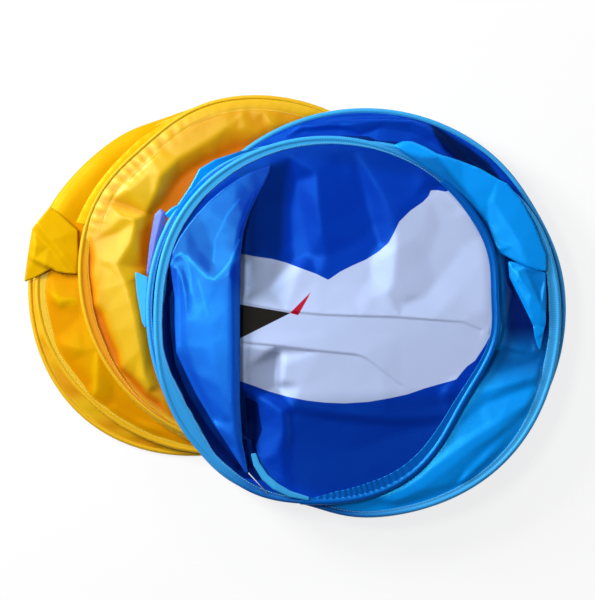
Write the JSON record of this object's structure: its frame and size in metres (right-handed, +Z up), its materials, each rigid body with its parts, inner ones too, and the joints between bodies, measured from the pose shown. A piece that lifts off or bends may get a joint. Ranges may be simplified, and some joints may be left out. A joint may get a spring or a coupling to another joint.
{
  "type": "folded play tent with tunnel",
  "caption": "Pop-up cloth play tent folded flat in stacked wire turns, lying on its folded crawl tunnel, which stretches out on sprung hoops.",
  "frame": {"origin": "centre of the folded stack's outline, on the surface that the lowest tunnel hoop rests on", "axes": "+Z up through the stack, +X from the tunnel towards the tent along the longest side, +Y to the top of the pictured view"},
  "size_m": [0.7242, 0.5623, 0.076],
  "materials": {
    "tunnel_cloth": "thin woven taffeta with a satin sheen",
    "tunnel_binding": "folded taffeta binding, double stitched",
    "tent_blue_cloth": "thin woven taffeta with a satin sheen",
    "tent_cyan_cloth": "thin woven taffeta with a satin sheen",
    "tent_binding": "ribbed woven tape, stitched along its inner edge",
    "tent_printed_cloth": "white and blue printed taffeta",
    "tent_lining": "reverse side of the printed taffeta",
    "tent_elastic": "gathered elastic tape",
    "spring_steel": "oiled spring steel wire",
    "ferrule_metal": "crimped tube"
  },
  "bodies": {
    "tunnel_turn_1": {"tunnel_sleeve_1": "tunnel_binding", "tunnel_wire_1": "spring_steel", "tunnel_ferrule_1": "ferrule_metal"},
    "tunnel_turn_2": {"tunnel_sleeve_2": "tunnel_binding", "tunnel_wire_2": "spring_steel", "tunnel_ferrule_2": "ferrule_metal", "tunnel_wall_1": "tunnel_cloth", "tunnel_flap": "tunnel_cloth"},
    "tunnel_turn_3": {"tunnel_sleeve_3": "tunnel_binding", "tunnel_wire_3": "spring_steel", "tunnel_ferrule_3": "ferrule_metal", "tunnel_wall_2": "tunnel_cloth"},
    "tunnel_turn_4": {"tunnel_sleeve_4": "tunnel_binding", "tunnel_wire_4": "spring_steel", "tunnel_ferrule_4": "ferrule_metal", "tunnel_wall_3": "tunnel_cloth"},
    "tunnel_turn_5": {"tunnel_sleeve_5": "tunnel_binding", "tunnel_wire_5": "spring_steel", "tunnel_ferrule_5": "ferrule_metal", "tunnel_wall_4": "tunnel_cloth", "tent_floor_sleeve": "tent_binding", "tent_floor_wire": "spring_steel", "tent_floor_ferrule": "ferrule_metal", "tent_floor_panel": "tent_blue_cloth"},
    "tent_wall_turn": {"tent_wall_sleeve": "tent_binding", "tent_wall_wire": "spring_steel", "tent_wall_ferrule": "ferrule_metal", "tent_lower_wall": "tent_blue_cloth", "tent_upper_pleat": "tent_cyan_cloth", "tent_right_pleat": "tent_cyan_cloth", "tent_outer_pleat": "tent_cyan_cloth", "tent_lining_strip": "tent_lining"},
    "tent_roof_turn": {"tent_roof_sleeve": "tent_binding", "tent_roof_wire": "spring_steel", "tent_roof_ferrule": "ferrule_metal", "tent_upper_wall": "tent_cyan_cloth", "tent_roof_panel": "tent_printed_cloth", "tent_side_panel": "tent_blue_cloth", "tent_gather_tape": "tent_elastic", "tent_pull_strap": "tent_elastic"},
    "fastening_tab": {"tent_tab": "tent_binding"}
  },
  "joints": [
    {"name": "tunnel_stretch_1", "type": "slide", "parent": "tunnel_turn_1", "child": "tunnel_turn_2", "axis": [0, 0, 1], "range_m": [0, 0.195], "deforming": ["tunnel_wall_1"]},
    {"name": "tunnel_stretch_2", "type": "slide", "parent": "tunnel_turn_2", "child": "tunnel_turn_3", "axis": [0, 0, 1], "range_m": [0, 0.195], "deforming": ["tunnel_wall_2"]},
    {"name": "tunnel_stretch_3", "type": "slide", "parent": "tunnel_turn_3", "child": "tunnel_turn_4", "axis": [0, 0, 1], "range_m": [0, 0.195], "deforming": ["tunnel_wall_3"]},
    {"name": "tunnel_stretch_4", "type": "slide", "parent": "tunnel_turn_4", "child": "tunnel_turn_5", "axis": [0, 0, 1], "range_m": [0, 0.195], "deforming": ["tunnel_wall_4"]},
    {"name": "tent_open_lower", "type": "hinge", "parent": "tunnel_turn_5", "child": "tent_wall_turn", "pos_m": [0.3621, -0.0057, 0.0486], "axis": [0, 1, 0], "range_deg": [0, 75], "deforming": ["tent_lower_wall"]},
    {"name": "tent_open_upper", "type": "hinge", "parent": "tent_wall_turn", "child": "tent_roof_turn", "pos_m": [-0.1979, -0.007, 0.0576], "axis": [0, -1, 0], "range_deg": [0, 75], "deforming": ["tent_upper_wall"]},
    {"name": "fastening_tab_lift", "type": "hinge", "parent": "tent_wall_turn", "child": "fastening_tab", "pos_m": [-0.1985, 0, 0.0537], "axis": [0, 1, 0], "range_deg": [0, 45]}
  ],
  "couplings": [
    {"joint": "tunnel_stretch_2", "follows": "tunnel_stretch_1", "ratio": 1},
    {"joint": "tunnel_stretch_3", "follows": "tunnel_stretch_1", "ratio": 1},
    {"joint": "tunnel_stretch_4", "follows": "tunnel_stretch_1", "ratio": 1},
    {"joint": "tent_open_upper", "follows": "tent_open_lower", "ratio": 1}
  ]
}
